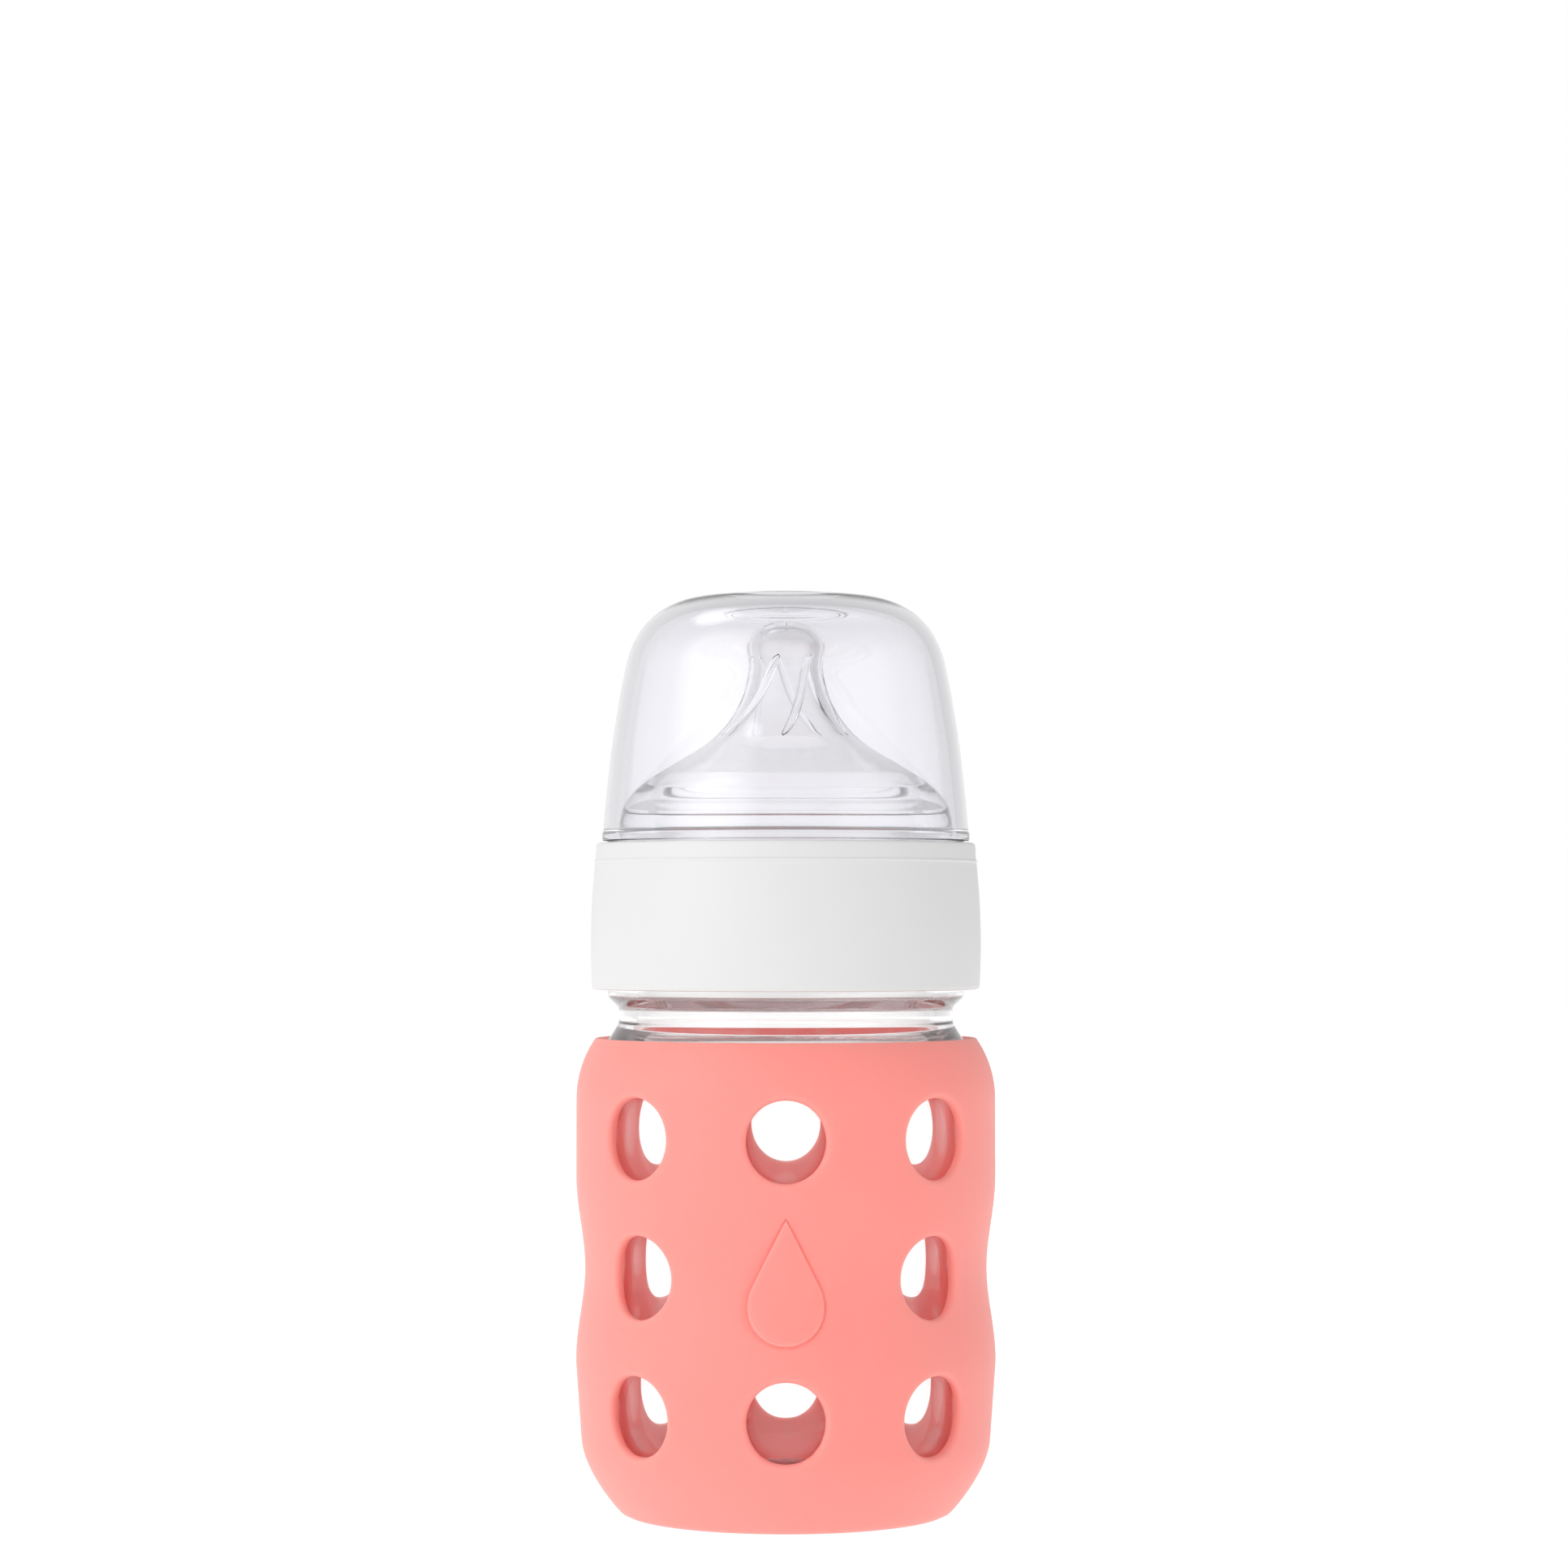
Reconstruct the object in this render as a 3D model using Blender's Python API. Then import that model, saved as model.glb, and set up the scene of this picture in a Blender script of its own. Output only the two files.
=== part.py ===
"""Small wide-neck glass baby bottle: silicone sleeve, screw collar, nipple and dome cap.

Frame: metres, +Z up along the bottle's axis, z = 0 on the surface it stands on.
The drop-shaped emblem on the sleeve faces -Y.
"""

import math

import bmesh
import bpy
from mathutils import Vector

MM = 0.001
TURN = 2 * math.pi

# Facets and clearances
SEGMENTS = 36  # facets round every turned piece
GAP = 0.3 * MM  # between faces that rest on each other

# Glass body, heights above its own foot unless a comment says otherwise
BODY_RADIUS = 32.1 * MM
FOOT_RADIUS = 25.6 * MM
HEEL_HEIGHT = 10.3 * MM
HEEL_INSET = 0.9 * MM
WAIST_HEIGHT = 37.8 * MM
WAIST_REACH = 15.0 * MM  # from the waist's middle to where it has faded out
WAIST_DEPTH = 1.45 * MM
SHOULDER_HEIGHT = 65.1 * MM
SHOULDER_ROUND = 15.1 * MM
SHOULDER_ANGLE = math.radians(35)
NECK_HEIGHT = 77.3 * MM
GLASS_WALL = 3.0 * MM
GLASS_FLOOR = 3.0 * MM
PUNT_DEPTH = 1.0 * MM
PUNT_RADIUS = 19.0 * MM

# Neck and its threaded finish
NECK_RADIUS = 27.2 * MM
NECK_LAND = 2.5 * MM  # plain neck under the bead
BEAD_PROUD = 1.7 * MM  # of the neck
BEAD_FILLET = 1.4 * MM
BEAD_HEIGHT = 3.4 * MM
FINISH_INSET = 0.8 * MM  # threaded wall inside the neck's radius
FINISH_HEIGHT = 15.3 * MM  # bead to rim
RIM_ROUND = 0.7 * MM
THREAD_PITCH = 4.5 * MM
THREAD_TURNS = 1.5
THREAD_DEPTH = 1.5 * MM
THREAD_ROOT = 2.0 * MM  # ridge height at its root
THREAD_CREST = 1.0 * MM
THREAD_CLEAR = 3.4 * MM  # bead to the middle of the ridge's start
THREAD_PLAY = 0.6 * MM  # radial, between a crest and the other wall
THREAD_STEPS = 30  # sections along one turn

# Silicone sleeve
SLEEVE_WALL = 1.6 * MM
SLEEVE_TOP_DROP = 2.3 * MM  # below the neck's root
WINDOW_RADIUS = 6.35 * MM
WINDOW_ANGLES = (0, 45, 135, 180, 225, 315)  # degrees from the front: the two sides are plain
WINDOW_SPACING = 21.8 * MM  # between rows, either side of the waist
WINDOW_FACETS = 20
EMBLEM_HEIGHT = 20.0 * MM
EMBLEM_BREADTH = 9.0 * MM  # factor of the drop's curve, which is 1.36 times this across
EMBLEM_PROUD = 0.35 * MM
EMBLEM_FACETS = 24

# Screw collar
COLLAR_WALL = 3.2 * MM  # outside the thread, where the skirt is widest
COLLAR_FOOT_INSET = 0.2 * MM
COLLAR_TOP_INSET = 0.8 * MM
COLLAR_EDGE = 0.4 * MM
COLLAR_DROP = 1.8 * MM  # skirt's foot, below the bead's top
LINE_DROP = 3.0 * MM  # raised line, below the collar's top
LINE_PROUD = 0.2 * MM
PLATE_THICKNESS = 1.6 * MM
PLATE_WIDTH = 5.5 * MM  # bore to the edge of its opening
RECESS_DEPTH = 2.2 * MM
RECESS_WALL = 1.6 * MM
NUT_DROP = 2.0 * MM  # collar's ridge below the glass's ridge
NUT_FIRST_TURN = 0.25

# Nipple
FLANGE_THICKNESS = 2.2 * MM
FLANGE_PLAY = 1.6 * MM  # inside the collar's bore
BULGE_EDGE = 0.7 * MM
BULGE_DROOP = 0.5 * MM
DOME_HEIGHT = 22.5 * MM  # plate to the root of the teat
TEAT_HEIGHT = 17.0 * MM
TEAT_RADIUS = 6.4 * MM
TEAT_WAIST = 6.05 * MM
NIPPLE_WALL = 1.65 * MM
RING_WALL = 1.5 * MM  # inside the groove
RING_HEIGHT = 7.1 * MM  # straight bore above the plate
RING_SHOULDER = 4.5 * MM
FEED_HOLE_RADIUS = 0.4 * MM
RIBS = 5
RIB_DROP = 6.7 * MM  # below the tip
RIB_LENGTH = 14.0 * MM
RIB_TWIST = math.radians(60)
RIB_WIDTH = 1.2 * MM
RIB_DEPTH = 0.45 * MM
RIB_START = math.radians(-14.5)
RIB_STEPS = 8
VENT_WIDTH = 1.2 * MM
VENT_DEPTH = 0.6 * MM

# Dome cap
CAP_WALL = 1.7 * MM
CAP_PLAY = 1.0 * MM  # round the nipple's bulge
CAP_DRAFT = 3.9 * MM  # foot to shoulder
CAP_BELLY = 0.5 * MM  # how far the side bows out from straight
CAP_SHOULDER_DROP = 11.5 * MM
CAP_CROWN = 0.3 * MM
CAP_BAND = 1.2 * MM
CAP_BAND_PROUD = 0.2 * MM
SPIGOT_INSET = 0.9 * MM
TIP_CLEARANCE = 1.4 * MM
RING_MARK_RADIUS = 9.5 * MM
RING_MARK_WIDTH = 1.4 * MM
RING_MARK_PROUD = 0.4 * MM

# Heights that follow
BASE_Z = SLEEVE_WALL + GAP
NECK_Z = BASE_Z + NECK_HEIGHT
BEAD_TOP = NECK_Z + NECK_LAND + BEAD_FILLET + BEAD_HEIGHT
THREAD_Z = BEAD_TOP + THREAD_CLEAR
RIM_Z = BEAD_TOP + FINISH_HEIGHT
COLLAR_FOOT = BEAD_TOP - COLLAR_DROP
PLATE_UNDER = RIM_Z + GAP + FLANGE_THICKNESS + GAP
PLATE_TOP = PLATE_UNDER + PLATE_THICKNESS
COLLAR_TOP = PLATE_TOP + RECESS_DEPTH
NIPPLE_TOP = PLATE_TOP + DOME_HEIGHT + TEAT_HEIGHT
CAP_SEAT = COLLAR_TOP + GAP
CAP_TOP = NIPPLE_TOP + TIP_CLEARANCE + CAP_WALL

# Radii that follow
BEAD_RADIUS = NECK_RADIUS + BEAD_PROUD
FINISH_RADIUS = NECK_RADIUS - FINISH_INSET
COLLAR_BORE = FINISH_RADIUS + THREAD_DEPTH + THREAD_PLAY
COLLAR_RADIUS = COLLAR_BORE + COLLAR_WALL
COLLAR_TOP_RADIUS = COLLAR_RADIUS - COLLAR_TOP_INSET
PLATE_BORE = COLLAR_BORE - PLATE_WIDTH
RECESS_RADIUS = COLLAR_TOP_RADIUS - RECESS_WALL
FLANGE_RADIUS = COLLAR_BORE - FLANGE_PLAY
GROOVE_RADIUS = PLATE_BORE - GAP
RING_BORE = GROOVE_RADIUS - RING_WALL
SPIGOT_RADIUS = RECESS_RADIUS - GAP
CAP_FOOT_RADIUS = SPIGOT_RADIUS + SPIGOT_INSET
CAP_SHOULDER_RADIUS = CAP_FOOT_RADIUS - CAP_DRAFT
BULGE_RADIUS = CAP_FOOT_RADIUS - CAP_WALL - CAP_PLAY


def bezier(a, b, c, d, steps):
    """Points on a cubic curve from a to d, without d itself."""
    curve = []
    for step in range(steps):
        t = step / steps
        weights = ((1 - t) ** 3, 3 * t * (1 - t) ** 2, 3 * t**2 * (1 - t), t**3)
        curve.append(tuple(sum(w * p[i] for w, p in zip(weights, (a, b, c, d))) for i in (0, 1)))
    return curve


def smooth_line(stations, steps):
    """Points on a smooth curve through the stations, this many to each stretch."""
    line = []
    ends = [stations[0], *stations, stations[-1]]
    for before, start, end, after in zip(ends, ends[1:], ends[2:], ends[3:]):
        reach_out = [s + (e - b) / 6 for b, s, e in zip(before, start, end)]
        reach_back = [e - (a - s) / 6 for s, e, a in zip(start, end, after)]
        line += bezier(start, reach_out, reach_back, end, steps)
    return [*line, stations[-1]]


def offset_line(line, distance):
    """The line moved sideways, to the right of its own direction, with its corners mitred."""
    moved = []
    for i, point in enumerate(line):
        normals = []
        for start, end in ((line[max(i - 1, 0)], point), (point, line[min(i + 1, len(line) - 1)])):
            length = math.dist(start, end)
            if length > 0:
                normals.append(((end[1] - start[1]) / length, (start[0] - end[0]) / length))
        nr = sum(normal[0] for normal in normals)
        nz = sum(normal[1] for normal in normals)
        scale = distance * len(normals) / (nr * nr + nz * nz)
        moved.append((point[0] + nr * scale, point[1] + nz * scale))
    return moved


def below(line, top):
    """The part of a rising line under a height, ending exactly at it."""
    kept = []
    for (r0, z0), (r1, z1) in zip(line, line[1:]):
        kept.append((r0, z0))
        if z1 >= top:
            share = (top - z0) / (z1 - z0)
            return [*kept, (r0 + (r1 - r0) * share, top)]
    return [*kept, line[-1]]


def body_outline():
    """The glass's outer line from its foot to the neck's root: heel, waist and shoulder."""
    heel_radius = BODY_RADIUS - HEEL_INSET
    heel = bezier(
        (FOOT_RADIUS, BASE_Z),
        (FOOT_RADIUS + HEEL_HEIGHT * 0.36, BASE_Z + HEEL_HEIGHT * 0.42),
        (heel_radius - HEEL_INSET * 0.2, BASE_Z + HEEL_HEIGHT * 0.76),
        (heel_radius, BASE_Z + HEEL_HEIGHT),
        4,
    )
    waist = []
    for step in range(9):
        share = step / 4 - 1
        depth = WAIST_DEPTH * (1 + math.cos(math.pi * share)) / 2
        waist.append((BODY_RADIUS - depth, BASE_Z + WAIST_HEIGHT + WAIST_REACH * share))
    shoulder = []
    for step in range(4):
        angle = SHOULDER_ANGLE * step / 3
        shoulder.append((
            BODY_RADIUS - SHOULDER_ROUND * (1 - math.cos(angle)),
            BASE_Z + SHOULDER_HEIGHT + SHOULDER_ROUND * math.sin(angle),
        ))
    return [*heel, (heel_radius, BASE_Z + HEEL_HEIGHT), *waist, *shoulder, (NECK_RADIUS, NECK_Z)]


def principled(name, colour, roughness, transmission=0.0, ior=1.45):
    """A plain finish of one colour."""
    made = bpy.data.materials.new(name)
    made.use_nodes = True
    shader = made.node_tree.nodes["Principled BSDF"]
    shader.inputs["Base Color"].default_value = (*colour, 1.0)
    shader.inputs["Roughness"].default_value = roughness
    shader.inputs["Transmission Weight"].default_value = transmission
    shader.inputs["IOR"].default_value = ior
    return made


def add_piece(name, bm, finish):
    """Links the bmesh as a piece of the bottle, shaded smooth between its sharp edges."""
    mesh = bpy.data.meshes.new(name)
    bm.to_mesh(mesh)
    bm.free()
    mesh.materials.append(finish)
    mesh.shade_smooth()
    mesh.set_sharp_from_angle(angle=math.radians(30))
    piece = bpy.data.objects.new(name, mesh)
    bpy.context.scene.collection.objects.link(piece)
    return piece


def add_helper(name, bm):
    """Links the bmesh as a shape that is only used by a Boolean."""
    bmesh.ops.recalc_face_normals(bm, faces=bm.faces[:])
    mesh = bpy.data.meshes.new(name)
    bm.to_mesh(mesh)
    bm.free()
    helper = bpy.data.objects.new(name, mesh)
    helper.hide_render = True
    helper.display_type = "WIRE"
    bpy.context.scene.collection.objects.link(helper)
    return helper


def combine(piece, helper, operation):
    """Adds an exact Boolean with a helper."""
    modifier = piece.modifiers.new(helper.name, "BOOLEAN")
    modifier.object = helper
    modifier.operation = operation
    modifier.solver = "EXACT"


def turned(profile, closed=True):
    """The (radius, height) profile turned round Z. One that isn't closed starts and ends on the axis."""
    bm = bmesh.new()
    verts = [bm.verts.new((0, -r, z)) for r, z in profile]
    edges = [bm.edges.new(pair) for pair in zip(verts, verts[1:])]
    if closed:
        edges.append(bm.edges.new((verts[-1], verts[0])))
    bmesh.ops.spin(
        bm, geom=[*verts, *edges], cent=(0, 0, 0), axis=(0, 0, 1), angle=TURN, steps=SEGMENTS, use_merge=True
    )
    bmesh.ops.remove_doubles(bm, verts=bm.verts[:], dist=0.01 * MM)
    bmesh.ops.recalc_face_normals(bm, faces=bm.faces[:])
    return bm


def add_ridge(bm, path, depth, root_width, crest_width, fade_steps):
    """A ridge along a path of (point, normal) pairs, rooted in the wall and faded out at both ends."""
    sections = []
    for i, (point, normal) in enumerate(path):
        along = path[min(i + 1, len(path) - 1)][0] - path[max(i - 1, 0)][0]
        side = along.cross(normal).normalized()
        height = depth * min(1.0, 0.1 + min(i, len(path) - 1 - i) / fade_steps)
        corners = (
            (-root_width / 2, -depth / 2),
            (-root_width / 2, 0),
            (-crest_width / 2, height),
            (crest_width / 2, height),
            (root_width / 2, 0),
            (root_width / 2, -depth / 2),
        )
        section = [bm.verts.new(point + side * across + normal * up) for across, up in corners]
        sections.append(section)
    for near, far in zip(sections, sections[1:]):
        for i, vert in enumerate(near):
            j = (i + 1) % len(near)
            bm.faces.new((vert, near[j], far[j], far[i]))
    bm.faces.new(sections[0])
    bm.faces.new(sections[-1])


def thread(name, wall_radius, facing, start, first_turn):
    """The helper for a thread whose ridge faces outwards (1) or inwards (-1)."""
    path = []
    for step in range(round((THREAD_TURNS - first_turn) * THREAD_STEPS) + 1):
        turn = first_turn + step / THREAD_STEPS
        out = Vector((math.cos(TURN * turn), math.sin(TURN * turn), 0))
        path.append((out * wall_radius + Vector((0, 0, start + THREAD_PITCH * turn)), out * facing))
    bm = bmesh.new()
    add_ridge(bm, path, THREAD_DEPTH, THREAD_ROOT, THREAD_CREST, fade_steps=3)
    return add_helper(name, bm)


def make_glass():
    """The bottle itself: heel, waist, shoulder, bead and threaded neck, open at the rim."""
    outline = body_outline()
    floor = BASE_Z + GLASS_FLOOR
    wall = [point for point in offset_line(outline, -GLASS_WALL)[:-1] if point[1] > floor + MM]
    bore = NECK_RADIUS - GLASS_WALL
    bead = NECK_Z + NECK_LAND
    outside = [
        (0, BASE_Z + PUNT_DEPTH),
        (PUNT_RADIUS * 0.75, BASE_Z + PUNT_DEPTH * 0.6),
        (PUNT_RADIUS, BASE_Z),
        *outline,
        (NECK_RADIUS, bead),
        (NECK_RADIUS + (BEAD_RADIUS - NECK_RADIUS) * 0.7, bead + BEAD_FILLET * 0.45),
        (BEAD_RADIUS, bead + BEAD_FILLET),
        (BEAD_RADIUS, BEAD_TOP - RIM_ROUND / 2),
        (BEAD_RADIUS - RIM_ROUND / 2, BEAD_TOP),
        (FINISH_RADIUS, BEAD_TOP),
        (FINISH_RADIUS, RIM_Z - RIM_ROUND),
        (FINISH_RADIUS - RIM_ROUND, RIM_Z),
    ]
    floor_radius = wall[0][0] - (wall[0][1] - floor)
    inside = [
        (bore + RIM_ROUND, RIM_Z),
        (bore, RIM_Z - RIM_ROUND),
        (bore, NECK_Z),
        *reversed(wall),
        (floor_radius, floor),
        (0, floor),
    ]
    finish = principled("borosilicate_glass", (0.93, 0.96, 0.96), 0.02, transmission=1.0, ior=1.47)
    glass = add_piece("glass_bottle", turned([*outside, *inside], closed=False), finish)
    combine(glass, thread("neck_thread", FINISH_RADIUS, 1, THREAD_Z, 0), "UNION")


def window_cutter():
    """Short cylinders through the sleeve's wall: three rows, with the emblem in place of one window."""
    bm = bmesh.new()
    middle = BASE_Z + WAIST_HEIGHT
    inner = BODY_RADIUS * 0.7
    outer = BODY_RADIUS * 1.2
    for row in (-1, 0, 1):
        for angle in WINDOW_ANGLES:
            if row == 0 and angle == 0:
                continue
            turn = math.radians(angle)
            out = Vector((math.sin(turn), -math.cos(turn), 0))
            across = Vector((math.cos(turn), math.sin(turn), 0))
            centre = Vector((0, 0, middle + row * WINDOW_SPACING))
            rings = []
            for depth in (inner, outer):
                ring = []
                for facet in range(WINDOW_FACETS):
                    around = TURN * facet / WINDOW_FACETS
                    rim = across * math.cos(around) + Vector((0, 0, math.sin(around)))
                    ring.append(bm.verts.new(centre + out * depth + rim * WINDOW_RADIUS))
                rings.append(ring)
            for i in range(WINDOW_FACETS):
                j = (i + 1) % WINDOW_FACETS
                bm.faces.new((rings[0][i], rings[0][j], rings[1][j], rings[1][i]))
            for ring in rings:
                bm.faces.new(ring)
    return add_helper("window_cutter", bm)


def drop_emblem(outline):
    """A raised drop that follows the sleeve's front, in place of its middle window."""
    drop = bmesh.new()
    rings = []
    for depth in (BODY_RADIUS / 2, BODY_RADIUS * 1.5):
        ring = []
        for step in range(EMBLEM_FACETS):
            t = TURN * step / EMBLEM_FACETS
            across = EMBLEM_BREADTH * math.sin(t) * math.sin(t / 2) ** 1.5
            height = BASE_Z + WAIST_HEIGHT + EMBLEM_HEIGHT / 2 * math.cos(t)
            ring.append(drop.verts.new((across, -depth, height)))
        rings.append(ring)
    for i in range(EMBLEM_FACETS):
        j = (i + 1) % EMBLEM_FACETS
        drop.faces.new((rings[0][i], rings[0][j], rings[1][j], rings[1][i]))
    for ring in rings:
        drop.faces.new(ring)
    emblem = add_helper("emblem_drop", drop)
    front = [point for point in outline if abs(point[1] - BASE_Z - WAIST_HEIGHT) <= WAIST_REACH + MM]
    outer = offset_line(front, GAP + SLEEVE_WALL + EMBLEM_PROUD)
    inner = offset_line(front, GAP + SLEEVE_WALL / 2)
    combine(emblem, add_helper("emblem_shell", turned([*outer, *reversed(inner)])), "INTERSECT")
    return emblem


def make_sleeve():
    """The silicone sleeve, a cup with round windows that hugs the glass."""
    outline = [(0, BASE_Z), *body_outline()]
    top = NECK_Z - SLEEVE_TOP_DROP
    outer = below(offset_line(outline, GAP + SLEEVE_WALL), top)
    inner = below(offset_line(outline, GAP), top)
    sleeve = add_piece(
        "silicone_sleeve",
        turned([*outer, *reversed(inner)], closed=False),
        principled("coral_silicone", (0.98, 0.33, 0.28), 0.55),
    )
    combine(sleeve, window_cutter(), "DIFFERENCE")
    combine(sleeve, drop_emblem(outline), "UNION")


def make_collar():
    """The screw collar: a threaded skirt, a plate that clamps the nipple and a recess for the cap."""
    clear = BEAD_RADIUS + GAP
    line = COLLAR_TOP - LINE_DROP
    skirt = smooth_line(
        (
            (COLLAR_RADIUS - COLLAR_FOOT_INSET, COLLAR_FOOT + COLLAR_EDGE),
            (COLLAR_RADIUS, COLLAR_FOOT + (line - COLLAR_FOOT) * 0.35),
            (COLLAR_TOP_RADIUS, line - LINE_PROUD),
        ),
        2,
    )
    profile = [
        (COLLAR_RADIUS - COLLAR_FOOT_INSET - COLLAR_EDGE, COLLAR_FOOT),
        *skirt,
        (COLLAR_TOP_RADIUS + LINE_PROUD, line),
        (COLLAR_TOP_RADIUS, line + LINE_PROUD),
        (COLLAR_TOP_RADIUS, COLLAR_TOP - COLLAR_EDGE),
        (COLLAR_TOP_RADIUS - COLLAR_EDGE, COLLAR_TOP),
        (RECESS_RADIUS, COLLAR_TOP),
        (RECESS_RADIUS, PLATE_TOP),
        (PLATE_BORE, PLATE_TOP),
        (PLATE_BORE, PLATE_UNDER),
        (COLLAR_BORE, PLATE_UNDER),
        (COLLAR_BORE, BEAD_TOP + GAP + clear - COLLAR_BORE),
        (clear, BEAD_TOP + GAP),
        (clear, COLLAR_FOOT + COLLAR_EDGE),
        (clear + COLLAR_EDGE, COLLAR_FOOT),
    ]
    collar = add_piece(
        "screw_collar", turned(profile), principled("white_polypropylene", (0.9, 0.9, 0.9), 0.4)
    )
    ridge = thread("collar_thread", COLLAR_BORE, -1, THREAD_Z - NUT_DROP, NUT_FIRST_TURN)
    combine(collar, ridge, "UNION")


def nipple_outline():
    """The nipple's outer line above the plate, up to the feed hole."""
    root = PLATE_TOP + DOME_HEIGHT
    return smooth_line(
        (
            (BULGE_RADIUS, PLATE_TOP + BULGE_EDGE + GAP),
            (BULGE_RADIUS - BULGE_DROOP, PLATE_TOP + DOME_HEIGHT * 0.31),
            (BULGE_RADIUS * 0.835, PLATE_TOP + DOME_HEIGHT * 0.54),
            (BULGE_RADIUS * 0.45, PLATE_TOP + DOME_HEIGHT * 0.8),
            (TEAT_RADIUS * 1.25, root),
            (TEAT_WAIST, root + TEAT_HEIGHT * 0.45),
            (TEAT_RADIUS, root + TEAT_HEIGHT * 0.7),
            (TEAT_RADIUS * 0.8, root + TEAT_HEIGHT * 0.92),
            (FEED_HOLE_RADIUS, NIPPLE_TOP),
        ),
        2,
    )


def radius_at(line, height):
    """The radius of a rising line at a height."""
    for (r0, z0), (r1, z1) in zip(line, line[1:]):
        if z0 <= height <= z1:
            return r0 + (r1 - r0) * (height - z0) / (z1 - z0)
    return line[-1][0]


def rib_ridges(wall):
    """Helical ribs inside the teat, which keep it from collapsing."""
    bm = bmesh.new()
    for rib in range(RIBS):
        path = []
        for step in range(RIB_STEPS + 1):
            share = step / RIB_STEPS
            height = NIPPLE_TOP - RIB_DROP - RIB_LENGTH * share
            angle = RIB_START + TURN * rib / RIBS - RIB_TWIST * share
            out = Vector((math.sin(angle), -math.cos(angle), 0))
            path.append((out * radius_at(wall, height) + Vector((0, 0, height)), -out))
        add_ridge(bm, path, RIB_DEPTH, RIB_WIDTH, RIB_WIDTH / 2, fade_steps=2)
    return add_helper("rib_ridges", bm)


def vent_cutter():
    """Two radial channels under the flange, which let air in as the baby drinks."""
    bm = bmesh.new()
    bmesh.ops.create_cube(bm, size=1)
    bmesh.ops.scale(bm, vec=(3 * FLANGE_RADIUS, VENT_WIDTH, 2 * VENT_DEPTH), verts=bm.verts[:])
    bmesh.ops.translate(bm, vec=(0, 0, RIM_Z + GAP), verts=bm.verts[:])
    return add_helper("vent_cutter", bm)


def make_nipple():
    """The silicone nipple: a flange under the collar's plate, a groove that holds it, dome and teat."""
    outer = nipple_outline()
    shoulder = PLATE_TOP + RING_HEIGHT + RING_SHOULDER
    wall = [point for point in offset_line(outer, -NIPPLE_WALL)[:-2] if point[1] > shoulder + MM]
    bottom = RIM_Z + GAP
    base = [
        (RING_BORE, bottom),
        (FLANGE_RADIUS, bottom),
        (FLANGE_RADIUS, PLATE_UNDER - GAP),
        (GROOVE_RADIUS, PLATE_UNDER - GAP),
        (GROOVE_RADIUS, PLATE_TOP + GAP),
        (BULGE_RADIUS - BULGE_EDGE, PLATE_TOP + GAP),
    ]
    inner = [
        (FEED_HOLE_RADIUS, NIPPLE_TOP - NIPPLE_WALL),
        *reversed(wall),
        (RING_BORE * 0.95, shoulder),
        (RING_BORE, PLATE_TOP + RING_HEIGHT),
    ]
    finish = principled("clear_silicone", (0.95, 0.95, 0.97), 0.15, transmission=0.9, ior=1.41)
    nipple = add_piece("nipple", turned([*base, *outer, *inner]), finish)
    combine(nipple, vent_cutter(), "DIFFERENCE")
    combine(nipple, rib_ridges(wall), "UNION")


def make_cap():
    """The clear dome cap, which plugs into the collar's recess and covers the nipple."""
    shoulder = CAP_TOP - CAP_SHOULDER_DROP
    band = CAP_SEAT + CAP_BAND
    middle = (CAP_FOOT_RADIUS + CAP_SHOULDER_RADIUS) / 2 + CAP_BELLY
    side = smooth_line(
        (
            (CAP_FOOT_RADIUS - CAP_BAND_PROUD, band),
            (middle, (band + shoulder) / 2),
            (CAP_SHOULDER_RADIUS, shoulder),
        ),
        2,
    )
    corner = bezier(
        (CAP_SHOULDER_RADIUS, shoulder),
        (CAP_SHOULDER_RADIUS - MM, shoulder + CAP_SHOULDER_DROP / 2),
        (CAP_SHOULDER_RADIUS * 0.8, CAP_TOP - CAP_CROWN),
        (RING_MARK_RADIUS + RING_MARK_WIDTH, CAP_TOP - CAP_CROWN),
        5,
    )
    crown = [(RING_MARK_RADIUS + RING_MARK_WIDTH, CAP_TOP - CAP_CROWN), (0, CAP_TOP)]
    ring = [
        (RING_MARK_RADIUS + RING_MARK_WIDTH / 2, CAP_TOP - CAP_CROWN),
        (RING_MARK_RADIUS + RING_MARK_WIDTH / 4, CAP_TOP - CAP_CROWN + RING_MARK_PROUD),
        (RING_MARK_RADIUS - RING_MARK_WIDTH / 4, CAP_TOP - CAP_CROWN + RING_MARK_PROUD),
        (RING_MARK_RADIUS - RING_MARK_WIDTH / 2, CAP_TOP - CAP_CROWN),
    ]
    skin = [*side[:-1], *corner, *crown]
    inside = [*offset_line(skin, -CAP_WALL)[:-1], (0, CAP_TOP - CAP_WALL)]
    inner_foot = inside[0][0]
    spigot_bottom = PLATE_TOP + GAP
    foot = [
        (inner_foot, spigot_bottom),
        (SPIGOT_RADIUS, spigot_bottom),
        (SPIGOT_RADIUS, CAP_SEAT),
        (CAP_FOOT_RADIUS, CAP_SEAT),
        (CAP_FOOT_RADIUS, band - CAP_BAND_PROUD),
    ]
    profile = [*reversed(inside), *foot, *skin[:-1], *ring, skin[-1]]
    finish = principled("clear_polypropylene", (0.93, 0.94, 0.96), 0.08, transmission=0.95, ior=1.49)
    add_piece("dome_cap", turned(profile, closed=False), finish)


def main():
    """Clears the scene and makes the five pieces."""
    for obj in list(bpy.data.objects):
        bpy.data.objects.remove(obj)
    make_glass()
    make_sleeve()
    make_collar()
    make_nipple()
    make_cap()


main()
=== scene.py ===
import math

import bmesh
import bpy
from mathutils import Matrix, Vector


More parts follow.
